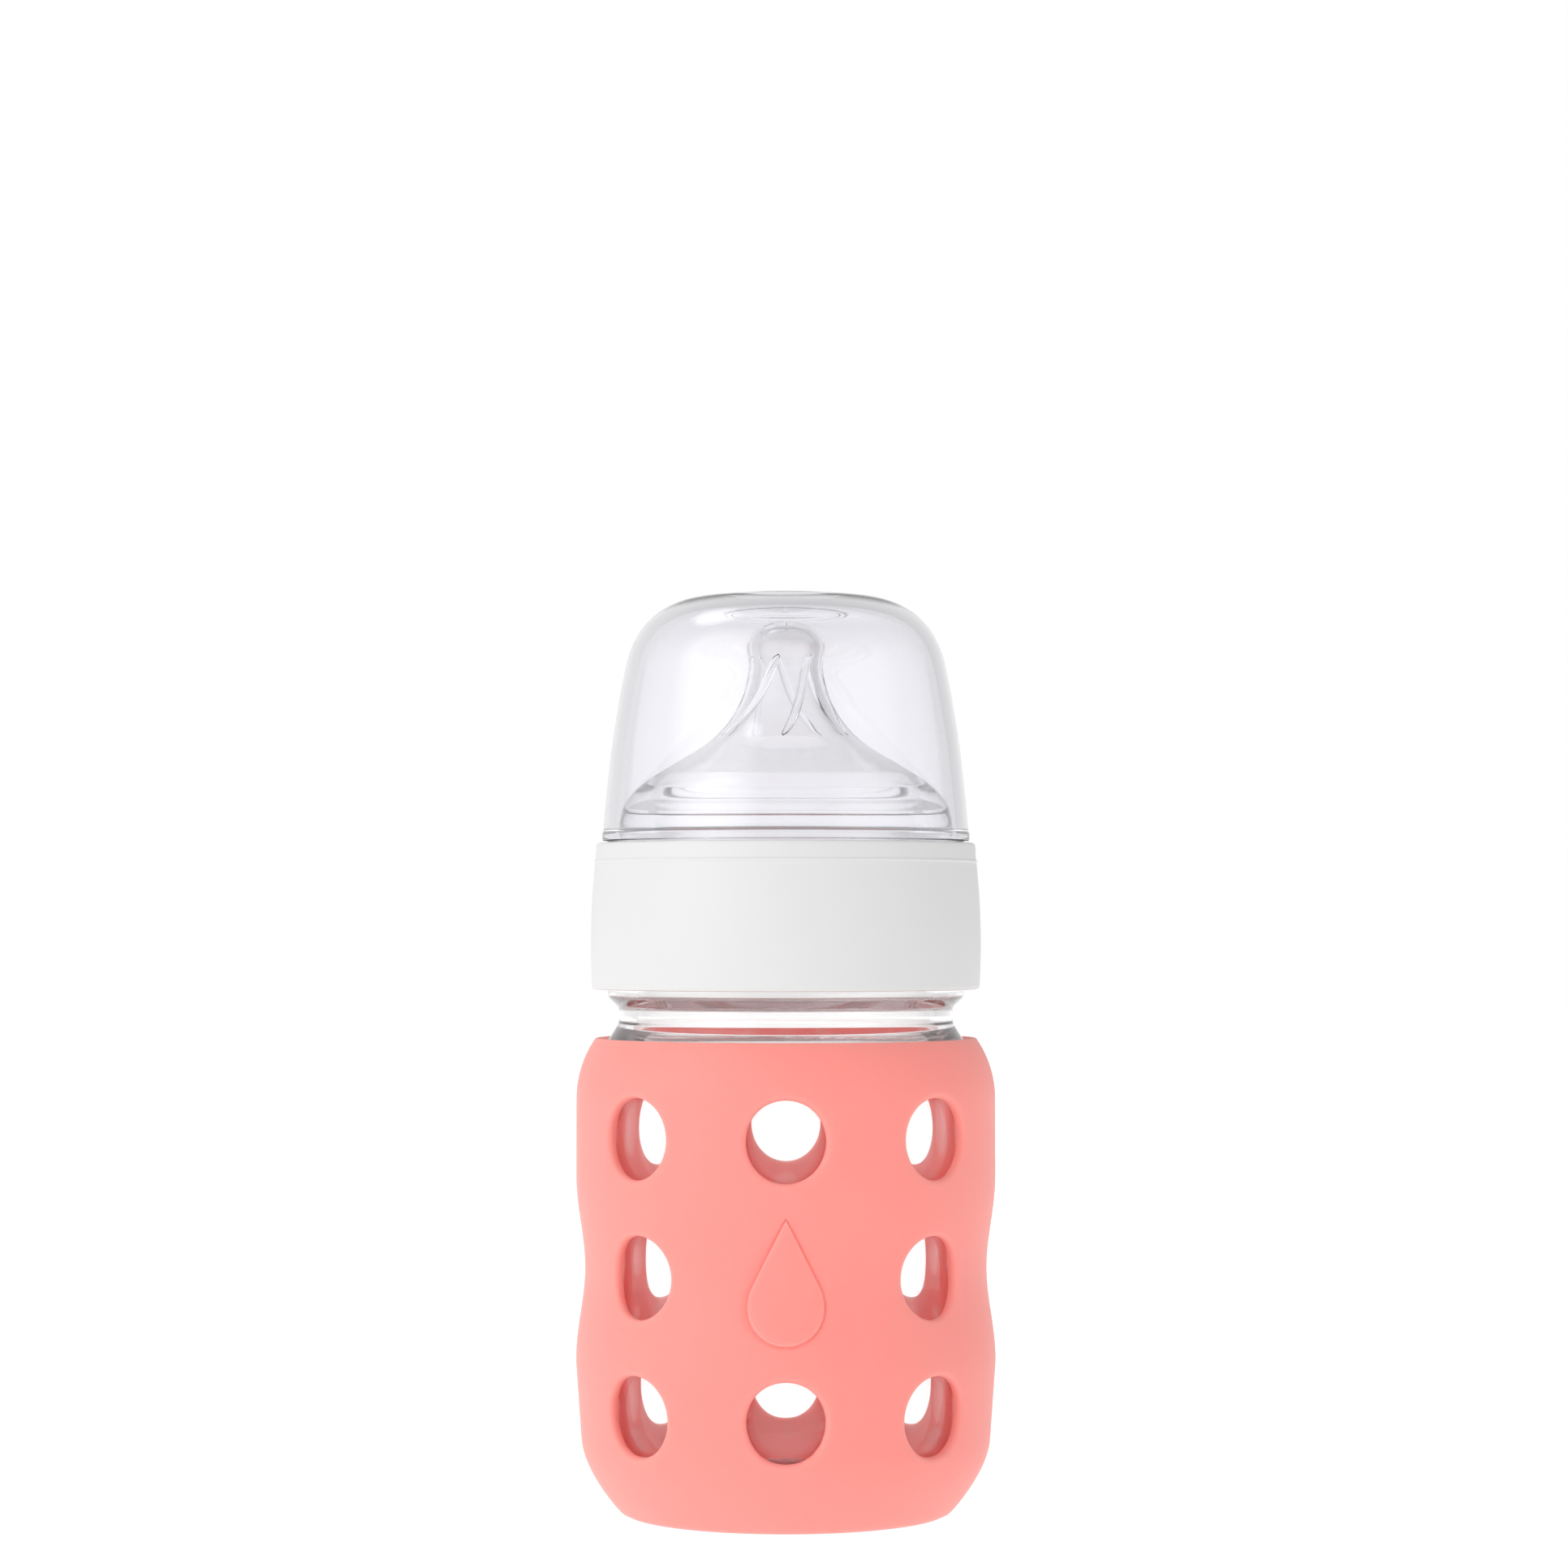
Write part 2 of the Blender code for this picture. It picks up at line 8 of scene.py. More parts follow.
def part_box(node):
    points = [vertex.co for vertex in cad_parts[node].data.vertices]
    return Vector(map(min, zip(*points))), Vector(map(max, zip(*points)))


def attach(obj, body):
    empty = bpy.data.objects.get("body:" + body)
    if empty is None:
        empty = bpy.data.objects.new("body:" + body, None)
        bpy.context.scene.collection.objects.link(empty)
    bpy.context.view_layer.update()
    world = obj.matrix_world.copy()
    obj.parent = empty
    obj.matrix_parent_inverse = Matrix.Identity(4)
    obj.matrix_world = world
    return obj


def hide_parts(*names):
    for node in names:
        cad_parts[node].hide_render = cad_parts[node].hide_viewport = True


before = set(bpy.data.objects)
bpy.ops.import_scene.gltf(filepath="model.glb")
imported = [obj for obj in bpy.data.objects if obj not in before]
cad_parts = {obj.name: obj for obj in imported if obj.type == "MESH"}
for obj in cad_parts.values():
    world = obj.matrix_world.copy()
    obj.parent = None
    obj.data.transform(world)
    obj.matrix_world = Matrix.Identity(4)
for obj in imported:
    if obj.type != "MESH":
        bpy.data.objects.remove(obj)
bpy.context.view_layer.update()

mm = 0.001
fullTurn = 2 * math.pi
turnSteps = 192  # facets round a turned piece


def smoothLine(stations, steps):
    # a line is a list of (radius, height) points; this one is a smooth curve through the stations,
    # with this many points to each stretch
    line = []
    ends = [stations[0], *stations, stations[-1]]
    for before, start, end, after in zip(ends, ends[1:], ends[2:], ends[3:]):
        for step in range(steps):
            t = step / steps
            line.append(tuple(
                0.5 * (
                    2 * s + (e - b) * t + (2 * b - 5 * s + 4 * e - a) * t**2
                    + (3 * s - b - 3 * e + a) * t**3
                )
                for b, s, e, a in zip(before, start, end, after)
            ))
    return [*line, stations[-1]]


def bezierLine(a, b, c, d, steps):
    # a cubic curve from a to d, pulled towards b and c
    line = []
    for step in range(steps + 1):
        t = step / steps
        weights = ((1 - t) ** 3, 3 * t * (1 - t) ** 2, 3 * t**2 * (1 - t), t**3)
        line.append(tuple(sum(w * point[i] for w, point in zip(weights, (a, b, c, d))) for i in (0, 1)))
    return line


def filletLine(corners, steps=5):
    # corners are (radius, height) or (radius, height, fillet)
    line = []
    for i, corner in enumerate(corners):
        if len(corner) < 3 or i in (0, len(corners) - 1):
            line.append(tuple(corner[:2]))
            continue
        here = Vector(corner[:2])
        back = (Vector(corners[i - 1][:2]) - here).normalized()
        ahead = (Vector(corners[i + 1][:2]) - here).normalized()
        half = back.angle(ahead) / 2
        reach = corner[2] / math.tan(half)
        middle = here + (back + ahead).normalized() * corner[2] / math.sin(half)
        start = here + back * reach - middle
        sweep = start.angle_signed(here + ahead * reach - middle)
        for step in range(steps + 1):
            angle = -sweep * step / steps
            turned = Vector((
                start.x * math.cos(angle) - start.y * math.sin(angle),
                start.x * math.sin(angle) + start.y * math.cos(angle),
            ))
            line.append(tuple(middle + turned))
    return line


def offsetLine(line, distance):
    # moved sideways, to the right of the line's own direction
    moved = []
    for i, point in enumerate(line):
        normals = []
        for start, end in ((line[max(i - 1, 0)], point), (point, line[min(i + 1, len(line) - 1)])):
            length = math.dist(start, end)
            if length > 0:
                normals.append(((end[1] - start[1]) / length, (start[0] - end[0]) / length))
        nr = sum(normal[0] for normal in normals)
        nz = sum(normal[1] for normal in normals)
        scale = distance * len(normals) / (nr * nr + nz * nz)
        moved.append((point[0] + nr * scale, point[1] + nz * scale))
    return moved


def spun(profile, closed=True):
    # a profile turned once round the axis; one that begins and ends on the axis isn't closed
    bm = bmesh.new()
    verts = [bm.verts.new((0, -r, z)) for r, z in profile]
    edges = [bm.edges.new(pair) for pair in zip(verts, verts[1:])]
    if closed:
        edges.append(bm.edges.new((verts[-1], verts[0])))
    bmesh.ops.spin(
        bm, geom=[*verts, *edges], cent=(0, 0, 0), axis=(0, 0, 1),
        angle=fullTurn, steps=turnSteps, use_merge=True,
    )
    bmesh.ops.remove_doubles(bm, verts=bm.verts[:], dist=0.001 * mm)
    bmesh.ops.recalc_face_normals(bm, faces=bm.faces[:])
    return bm


def newObject(name, bm):
    mesh = bpy.data.meshes.new(name)
    bm.to_mesh(mesh)
    bm.free()
    mesh.shade_smooth()
    piece = bpy.data.objects.new(name, mesh)
    bpy.context.scene.collection.objects.link(piece)
    return piece


def joinTo(piece, helper):
    # an exact union, applied
    modifier = piece.modifiers.new(helper.name, "BOOLEAN")
    modifier.object = helper
    modifier.operation = "UNION"
    modifier.solver = "EXACT"
    applyModifiers(piece)
    bpy.data.objects.remove(helper)


def applyModifiers(piece):
    graph = bpy.context.evaluated_depsgraph_get()
    mesh = bpy.data.meshes.new_from_object(piece.evaluated_get(graph))
    piece.modifiers.clear()
    piece.data = mesh
    mesh.name = piece.name


def place(piece, material, body, node, slot):
    # one material, the body it moves with, and the CAD node it stands for; the slot is not used
    piece.data.materials.clear()
    piece.data.materials.append(material)
    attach(piece, body)
    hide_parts(node)


def helix(name, section, start, pitch, turns, stepsPerTurn=72):
    # a ridge: a small (radius, height) section spun up the axis from a start angle
    bm = bmesh.new()
    verts = [bm.verts.new((r, 0, z)) for r, z in section]
    face = bm.faces.new(verts)
    bmesh.ops.rotate(bm, verts=verts, cent=(0, 0, 0), matrix=Matrix.Rotation(start, 3, "Z"))
    bmesh.ops.translate(bm, verts=verts, vec=(0, 0, pitch * start / fullTurn))
    bmesh.ops.spin(
        bm, geom=[face], cent=(0, 0, 0), axis=(0, 0, 1), dvec=(0, 0, pitch / stepsPerTurn),
        angle=fullTurn * turns, steps=round(turns * stepsPerTurn), use_merge=False,
    )
    bmesh.ops.remove_doubles(bm, verts=bm.verts[:], dist=0.0001 * mm)
    bmesh.ops.recalc_face_normals(bm, faces=bm.faces[:])
    return newObject(name, bm)


def hexColor(code):
    # an sRGB hex value as linear red, green, blue and alpha
    parts = [int(code[i:i + 2], 16) / 255 for i in (0, 2, 4)]
    linear = [
        part / 12.92 if part <= 0.04045 else ((part + 0.055) / 1.055) ** 2.4
        for part in parts
    ]
    return (*linear, 1.0)


def addNode(tree, kind, settings=None, links=None):
    # settings are the node's inputs or its own properties; links are inputs fed by other outputs
    node = tree.nodes.new(kind)
    for name, value in (settings or {}).items():
        if name in node.inputs:
            node.inputs[name].default_value = value
        else:
            setattr(node, name, value)
    for name, source in (links or {}).items():
        tree.links.new(source, node.inputs[name])
    return node


def newMaterial(name, settings):
    material = bpy.data.materials.new(name)
    material.use_nodes = True
    tree = material.node_tree
    shader = tree.nodes["Principled BSDF"]
    for key, value in settings.items():
        shader.inputs[key].default_value = value
    return material, tree, shader


def sleeveSilicone():
    # compression-moulded silicone rubber: dense colour, satin skin, a little light inside thin edges
    material, tree, shader = newMaterial("moulded_silicone_coral", {
        "Roughness": 0.5, "IOR": 1.41, "Subsurface Weight": 0.7, "Subsurface Radius": (1.0, 0.9, 0.85),
        "Subsurface Scale": 3.0 * mm,
    })
    # a very slow drift in tone
    where = addNode(tree, "ShaderNodeTexCoord")
    shade = addNode(
        tree, "ShaderNodeTexNoise",
        {"Scale": 1 / (22 * mm), "Detail": 1.0, "Roughness": 0.5},
        {"Vector": where.outputs["Object"]},
    )
    mix = addNode(tree, "ShaderNodeMix", {"data_type": "RGBA"})
    # inputs 6 and 7 are its two colours, and output 2 the colour between them
    mix.inputs[6].default_value = hexColor("FF9991")
    mix.inputs[7].default_value = hexColor("FF958D")
    tree.links.new(shade.outputs["Fac"], mix.inputs["Factor"])
    tree.links.new(mix.outputs[2], shader.inputs["Base Color"])
    # the mould's grain is near 0.05 mm, too fine to show, so it is drawn at 0.35 mm
    grain = addNode(
        tree, "ShaderNodeTexNoise",
        {"Scale": 1 / (0.35 * mm), "Detail": 3.0, "Roughness": 0.6},
        {"Vector": where.outputs["Object"]},
    )
    bump = addNode(
        tree, "ShaderNodeBump",
        {"Strength": 0.12, "Distance": 0.03 * mm}, {"Height": grain.outputs["Fac"]},
    )
    tree.links.new(bump.outputs["Normal"], shader.inputs["Normal"])
    return material


def bottleGlass():
    # blown borosilicate glass: colourless, fire-polished, with slow waves left by the mould
    material, tree, shader = newMaterial("blown_borosilicate_glass", {
        "Base Color": hexColor("FFFFFF"), "Roughness": 0.0, "IOR": 1.47, "Transmission Weight": 0.97,
    })
    where = addNode(tree, "ShaderNodeTexCoord")
    waves = addNode(
        tree, "ShaderNodeTexNoise",
        {"Scale": 1 / (14 * mm), "Detail": 1.0, "Roughness": 0.5},
        {"Vector": where.outputs["Object"]},
    )
    bump = addNode(
        tree, "ShaderNodeBump",
        {"Strength": 0.1, "Distance": 0.15 * mm}, {"Height": waves.outputs["Fac"]},
    )
    tree.links.new(bump.outputs["Normal"], shader.inputs["Normal"])
    return material


def collarPlastic():
    # injection-moulded white polypropylene: soft satin from a fine eroded tool
    material, tree, shader = newMaterial("moulded_polypropylene_white", {
        "Base Color": hexColor("DADADA"), "Roughness": 0.42, "IOR": 1.49, "Subsurface Weight": 0.1,
        "Subsurface Radius": (1.0, 1.0, 1.0), "Subsurface Scale": 1.0 * mm,
    })
    # the tool's grain is near 0.05 mm, too fine to show, so it is drawn at 0.3 mm
    where = addNode(tree, "ShaderNodeTexCoord")
    grain = addNode(
        tree, "ShaderNodeTexNoise",
        {"Scale": 1 / (0.3 * mm), "Detail": 3.0, "Roughness": 0.6},
        {"Vector": where.outputs["Object"]},
    )
    bump = addNode(
        tree, "ShaderNodeBump",
        {"Strength": 0.1, "Distance": 0.02 * mm}, {"Height": grain.outputs["Fac"]},
    )
    tree.links.new(bump.outputs["Normal"], shader.inputs["Normal"])
    return material


def nippleSilicone():
    # injection-moulded liquid silicone rubber: nearly clear, slightly grey, with soft outlines; the
    # IOR is under silicone's 1.41, which drew them too dark
    material, tree, shader = newMaterial("liquid_silicone_clear", {
        "Base Color": hexColor("FAFAFA"), "Roughness": 0.06, "IOR": 1.3, "Transmission Weight": 1.0,
    })
    where = addNode(tree, "ShaderNodeTexCoord")
    haze = addNode(
        tree, "ShaderNodeTexNoise",
        {"Scale": 1 / (3 * mm), "Detail": 2.0, "Roughness": 0.5},
        {"Vector": where.outputs["Object"]},
    )
    bump = addNode(
        tree, "ShaderNodeBump",
        {"Strength": 0.1, "Distance": 0.05 * mm}, {"Height": haze.outputs["Fac"]},
    )
    tree.links.new(bump.outputs["Normal"], shader.inputs["Normal"])
    return material


def capPlastic():
    # injection-moulded clarified polypropylene: clear with a faint cool tint, glossy from a polished
    # tool, with slow waves where it cooled
    material, tree, shader = newMaterial("clarified_polypropylene", {
        "Base Color": hexColor("F8F8FB"), "Roughness": 0.02, "IOR": 1.49,
        "Transmission Weight": 1.0,
    })
    where = addNode(tree, "ShaderNodeTexCoord")
    waves = addNode(
        tree, "ShaderNodeTexNoise",
        {"Scale": 1 / (18 * mm), "Detail": 1.0, "Roughness": 0.5},
        {"Vector": where.outputs["Object"]},
    )
    bump = addNode(
        tree, "ShaderNodeBump",
        {"Strength": 0.08, "Distance": 0.1 * mm}, {"Height": waves.outputs["Fac"]},
    )
    tree.links.new(bump.outputs["Normal"], shader.inputs["Normal"])
    return material


glass = {
    "bodyRadius": 32.1 * mm,
    "footRadius": 25.6 * mm,
    "footFillet": 1.2 * mm,
    "heelHeight": 10.3 * mm,
    "heelInset": 0.9 * mm,
    "waistHeight": 37.8 * mm,
    "waistReach": 15.0 * mm,
    "waistDepth": 1.45 * mm,
    "shoulderHeight": 65.1 * mm,
    "shoulderRound": 15.1 * mm,
    "shoulderAngle": math.radians(35),
    "waistSteps": 60,
    "shoulderSteps": 20,
    "neckHeight": 77.3 * mm,
    "neckRadius": 27.2 * mm,
    "neckLand": 2.6 * mm,
    "beadRadius": 28.9 * mm,
    "beadBottom": 1.6 * mm,
    "beadHeight": 3.2 * mm,
    "finishRadius": 26.4 * mm,
    "wall": 3.0 * mm,
    "floor": 2.9 * mm,
    "wallFrom": 6.0 * mm,  # above the floor, where the even wall begins
    "wallTo": 7.5 * mm,  # below the neck, where it ends
    "punt": 1.1 * mm,
    "puntRadius": 15 * mm,
    "standRadius": 21 * mm,
    "threadStart": 3.4 * mm,  # above the bead
    "pitch": 4.5 * mm,
    "threadTurns": 1.5,
}


def bodyLine(base):
    # heel, taper, waist and shoulder, up to the neck's root
    g = glass
    heelRadius = g["bodyRadius"] - g["heelInset"]
    heel = bezierLine(
        (g["footRadius"], base),
        (g["footRadius"] + g["heelHeight"] * 0.36, base + g["heelHeight"] * 0.42),
        (heelRadius - g["heelInset"] * 0.2, base + g["heelHeight"] * 0.76),
        (heelRadius, base + g["heelHeight"]),
        20,
    )
    waist = []
    for step in range(g["waistSteps"] + 1):
        share = 2 * step / g["waistSteps"] - 1
        depth = g["waistDepth"] * (1 + math.cos(math.pi * share)) / 2
        waist.append((g["bodyRadius"] - depth, base + g["waistHeight"] + g["waistReach"] * share))
    shoulder = []
    for step in range(g["shoulderSteps"] + 1):
        angle = g["shoulderAngle"] * step / g["shoulderSteps"]
        shoulder.append((
            g["bodyRadius"] - g["shoulderRound"] * (1 - math.cos(angle)),
            base + g["shoulderHeight"] + g["shoulderRound"] * math.sin(angle),
        ))
    return [*heel, *waist, *shoulder]


def makeGlass():
    g = glass
    low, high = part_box("glass_bottle")
    base = low.z
    rim = high.z
    neck = base + g["neckHeight"]
    bead = neck + g["neckLand"]
    beadTop = bead + g["beadBottom"] + g["beadHeight"]
    body = bodyLine(base)
    bore = g["neckRadius"] - g["wall"]
    floor = base + g["floor"]
    outside = filletLine([
        (0, base + g["punt"]),
        (g["puntRadius"], base + g["punt"] * 0.8, 8 * mm),
        (g["standRadius"], base, 2.0 * mm),
        (g["footRadius"], base, g["footFillet"]),
        *body[2:],
        (g["neckRadius"], neck, 1.5 * mm),
        (g["neckRadius"], bead, 0.9 * mm),
        (g["beadRadius"], bead + g["beadBottom"], 1.0 * mm),
        (g["beadRadius"], beadTop, 0.8 * mm),
        (g["finishRadius"], beadTop, 0.5 * mm),
        (g["finishRadius"], rim, 0.9 * mm),
        (bore, rim, 0.9 * mm),
        (bore, neck + 1.2 * mm),
    ], steps=8)
    wall = [
        point for point in offsetLine(body, -g["wall"])
        if floor + g["wallFrom"] < point[1] < neck - g["wallTo"]
    ]
    # down the bore, out under the neck, down the wall, and round the heel to the floor
    inside = filletLine([
        (bore, neck + 1.2 * mm),
        (bore, neck + 0.1 * mm, 2.0 * mm),
        (bore + 0.75 * mm, neck - 1.9 * mm, 0.8 * mm),
        (bore + 3.1 * mm, neck - 4.4 * mm, 2.5 * mm),
        *reversed(wall),
        (wall[0][0] - 1.6 * mm, floor + 3.0 * mm),
        (wall[0][0] - 4.6 * mm, floor + 0.5 * mm),
        (wall[0][0] - 8.5 * mm, floor),
        (0, floor),
    ], steps=8)
    # the thread's section: radius, and height from its middle
    ridge = [
        (g["finishRadius"] - 0.5 * mm, -1.0 * mm),
        (g["finishRadius"], -1.0 * mm),
        (g["finishRadius"] + 1.2 * mm, -0.55 * mm),
        (g["finishRadius"] + 1.5 * mm, -0.2 * mm),
        (g["finishRadius"] + 1.5 * mm, 0.2 * mm),
        (g["finishRadius"] + 1.2 * mm, 0.55 * mm),
        (g["finishRadius"], 1.0 * mm),
        (g["finishRadius"] - 0.5 * mm, 1.0 * mm),
    ]
    threadZ = beadTop + g["threadStart"]
    section = [(r, z + threadZ) for r, z in ridge]
    bottle = newObject("bottle_glass", spun([*outside, *inside[1:]], closed=False))
    thread = helix("neck_thread", section, 0.0, g["pitch"], g["threadTurns"])
    joinTo(bottle, thread)
    bottle.data.shade_smooth()
    place(bottle, bottleGlass(), "bottle", "glass_bottle", "borosilicate_glass")
    print("glass bottle made,", len(bottle.data.polygons), "faces")


sleeve = {
    "gap": 0.3 * mm,
    "wall": 1.6 * mm,
    "snug": 0.24 * mm,  # how far the inner skin reaches into the gap
    "footFillet": 2.5 * mm,
    "windowRadius": 6.5 * mm,
    "windowHeights": (17.9 * mm, 39.7 * mm, 61.5 * mm),
    "columns": 8,
    "openColumns": (0, 1, 3, 4, -1, -3),  # the two sides are plain
    "perSide": 24,  # edges along each side of a tile
    "rings": (0.22, 0.36, 0.5, 0.64, 0.78, 0.9, 1.0),  # shares of the way out to a tile's border
    "edgeRound": 0.8 * mm,
    "mouthRound": 0.3 * mm,
    "mouthDepth": 3.0 * mm,
    "sharpAngle": math.radians(55),  # edges sharper than this are rounded
    "rowsBelow": 34,  # rows of faces from the tiles to the middle of the foot
    "rowsAbove": 8,  # and to the mouth
    "dropRadius": 6.2 * mm,
    "dropReach": 13.4 * mm,  # centre of the drop's round end to its point
    # millimetres outside the drop's line and above the skin: a groove round it, then its edge
    "dropRings": ((0.55, 0.0), (0.4, -0.14), (0.15, -0.18), (0.0, 0.06), (-0.12, 0.3), (-0.35, 0.35)),
    "dropFill": (0.75, 0.6, 0.6, 0.5),  # each ring inside those, as a share of the last one
}


def sleeveLine():
    # the sleeve's outer skin, from the middle of its foot up to its mouth
    s = sleeve
    low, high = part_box("silicone_sleeve")
    base = low.z + s["wall"] + s["gap"]
    body = [(0, base), *bodyLine(base), (glass["neckRadius"], base + glass["neckHeight"])]
    outer = offsetLine(body, s["wall"] + s["gap"])
    kept = [point for point in outer if point[1] < high.z]
    kept.append((kept[-1][0] - 0.12 * mm, high.z))
    return filletLine([kept[0], (*kept[1], s["footFillet"]), *kept[3:]], steps=10)


def alongLine(line, distance):
    # the point this far along a line
    for start, end in zip(line, line[1:]):
        length = math.dist(start, end)
        if distance <= length or end == line[-1]:
            return [a + (b - a) * distance / length for a, b in zip(start, end)]
        distance -= length


def distanceTo(line, height):
    # how far along a line its side reaches a height
    travelled = 0
    for start, end in zip(line, line[1:]):
        length = math.dist(start, end)
        if start[1] < height <= end[1]:
            return travelled + length * (height - start[1]) / (end[1] - start[1])
        travelled += length
    return travelled


def loopEdges(verts):
    found = set(verts)
    return list({edge for vert in verts for edge in vert.link_edges if set(edge.verts) <= found})


def grownLoop(bm, verts, move):
    # the loop extruded, and each new vert moved
    made = bmesh.ops.extrude_edge_only(bm, edges=loopEdges(verts))["geom"]
    fresh = [item for item in made if isinstance(item, bmesh.types.BMVert)]
    for vert in fresh:
        vert.co = move(vert.co)
    return fresh


def tileBorder(width, height, perSide):
    # points round a rectangle, anticlockwise from its lower right corner
    corners = [(1, -1), (1, 1), (-1, 1), (-1, -1)]
    points = []
    for start, end in zip(corners, [*corners[1:], corners[0]]):
        for step in range(perSide):
            share = step / perSide
            points.append((
                (start[0] + (end[0] - start[0]) * share) * width / 2,
                (start[1] + (end[1] - start[1]) * share) * height / 2,
            ))
    return points


def outlinedTile(bm, centre, width, height, reach):
    # a hole whose reach depends on the angle, grown out to the tile's border
    s = sleeve
    border = tileBorder(width, height, s["perSide"])
    loop = bmesh.ops.create_circle(bm, segments=len(border), radius=1.0)["verts"]
    for vert, (x, y) in zip(loop, border):
        angle = math.atan2(y, x)
        vert.co = centre + Vector((math.cos(angle), math.sin(angle), 0)) * reach(angle)
    ring = loop
    for share in s["rings"]:

        def spread(place, share=share):
            offset = place - centre
            angle = math.atan2(offset.y, offset.x)
            out = Vector((math.cos(angle), math.sin(angle), 0))
            edge = min(width / 2 / max(abs(out.x), 1e-9), height / 2 / max(abs(out.y), 1e-9))
            return centre + out * (reach(angle) + (edge - reach(angle)) * share)

        ring = grownLoop(bm, ring, spread)
    return loop


def windowReach(angle):
    # a round window reaches as far at every angle
    return sleeve["windowRadius"]


def dropReach(angle):
    # a round end with two straight sides that meet in a point above it
    fromTop = abs(math.remainder(angle - math.pi / 2, fullTurn))
    lean = math.acos(sleeve["dropRadius"] / sleeve["dropReach"])
    if fromTop >= lean:
        return sleeve["dropRadius"]
    return sleeve["dropRadius"] / math.cos(lean - fromTop)


def dropTile(bm, centre, width, height):
    # the raised drop on the front, set off by a fine groove, grown inwards from the tile's border
    s = sleeve
    middle = centre - Vector((0, (s["dropReach"] - s["dropRadius"]) / 2, 0))
    border = tileBorder(width, height, s["perSide"])
    loop = bmesh.ops.create_circle(bm, segments=len(border), radius=1.0)["verts"]
    outward = []
    for vert, (x, y) in zip(loop, border):
        vert.co = centre + Vector((x, y, 0))
        outward.append((vert.co - middle, vert.co.copy()))

    def on(place, outside, share, lift):
        # the point this far outside the drop's line, or this share of the way from it to the border
        angle = math.atan2(place.y - middle.y, place.x - middle.x)
        out = Vector((math.cos(angle), math.sin(angle), 0))
        line = middle + out * (dropReach(angle) + outside)
        if share:
            edge = min(outward, key=lambda known: (known[0].xy.normalized() - out.xy).length)[1]
            line = line.lerp(edge, share)
        return Vector((line.x, line.y, lift))

    outermost = s["dropRings"][0][0] * mm
    for share in reversed(s["rings"][:-1]):
        loop = grownLoop(bm, loop, lambda place, share=share: on(place, outermost, share, 0))
    for outside, lift in s["dropRings"]:
        loop = grownLoop(
            bm, loop, lambda place, outside=outside, lift=lift: on(place, outside * mm, 0, lift * mm)
        )
    for shrink in s["dropFill"]:
        loop = grownLoop(
            bm, loop, lambda place, shrink=shrink: Vector((
                middle.x + (place.x - middle.x) * shrink,
                middle.y + (place.y - middle.y) * shrink,
                place.z,
            ))
        )
    bmesh.ops.contextual_create(bm, geom=loopEdges(loop))


def plainTile(bm, centre, width, height):
    count = sleeve["perSide"]
    made = bmesh.ops.create_grid(bm, x_segments=count, y_segments=count, size=0.5)["verts"]
    for vert in made:
        vert.co = centre + Vector((vert.co.x * width, vert.co.y * height, 0))


def finishSkin(piece):
    # the drop raised on the outer skin only, then round edges, finer at the sleeve's mouth
    bm = bmesh.new()
    bm.from_mesh(piece.data)
    bm.normal_update()
    lift = bm.verts.layers.float["lift"]
    for vert in bm.verts:
        if vert.normal.y < -0.5 and abs(vert[lift]) > 1e-7:
            vert.co += Vector((vert.co.x, vert.co.y, 0)).normalized() * vert[lift]
    bm.verts.layers.float.remove(lift)
    mouth = max(vert.co.z for vert in bm.verts) - sleeve["mouthDepth"]
    sharp = [edge for edge in bm.edges if edge.calc_face_angle(0) > sleeve["sharpAngle"]]
    fine = [edge for edge in sharp if edge.verts[0].co.z > mouth]
    full = [edge for edge in sharp if edge.verts[0].co.z <= mouth]
    for edges, width, segments in ((full, sleeve["edgeRound"], 4), (fine, sleeve["mouthRound"], 3)):
        bmesh.ops.bevel(
            bm, geom=edges, offset=width, segments=segments,
            affect="EDGES", profile=0.5, material=-1,
        )
    bm.to_mesh(piece.data)
    bm.free()


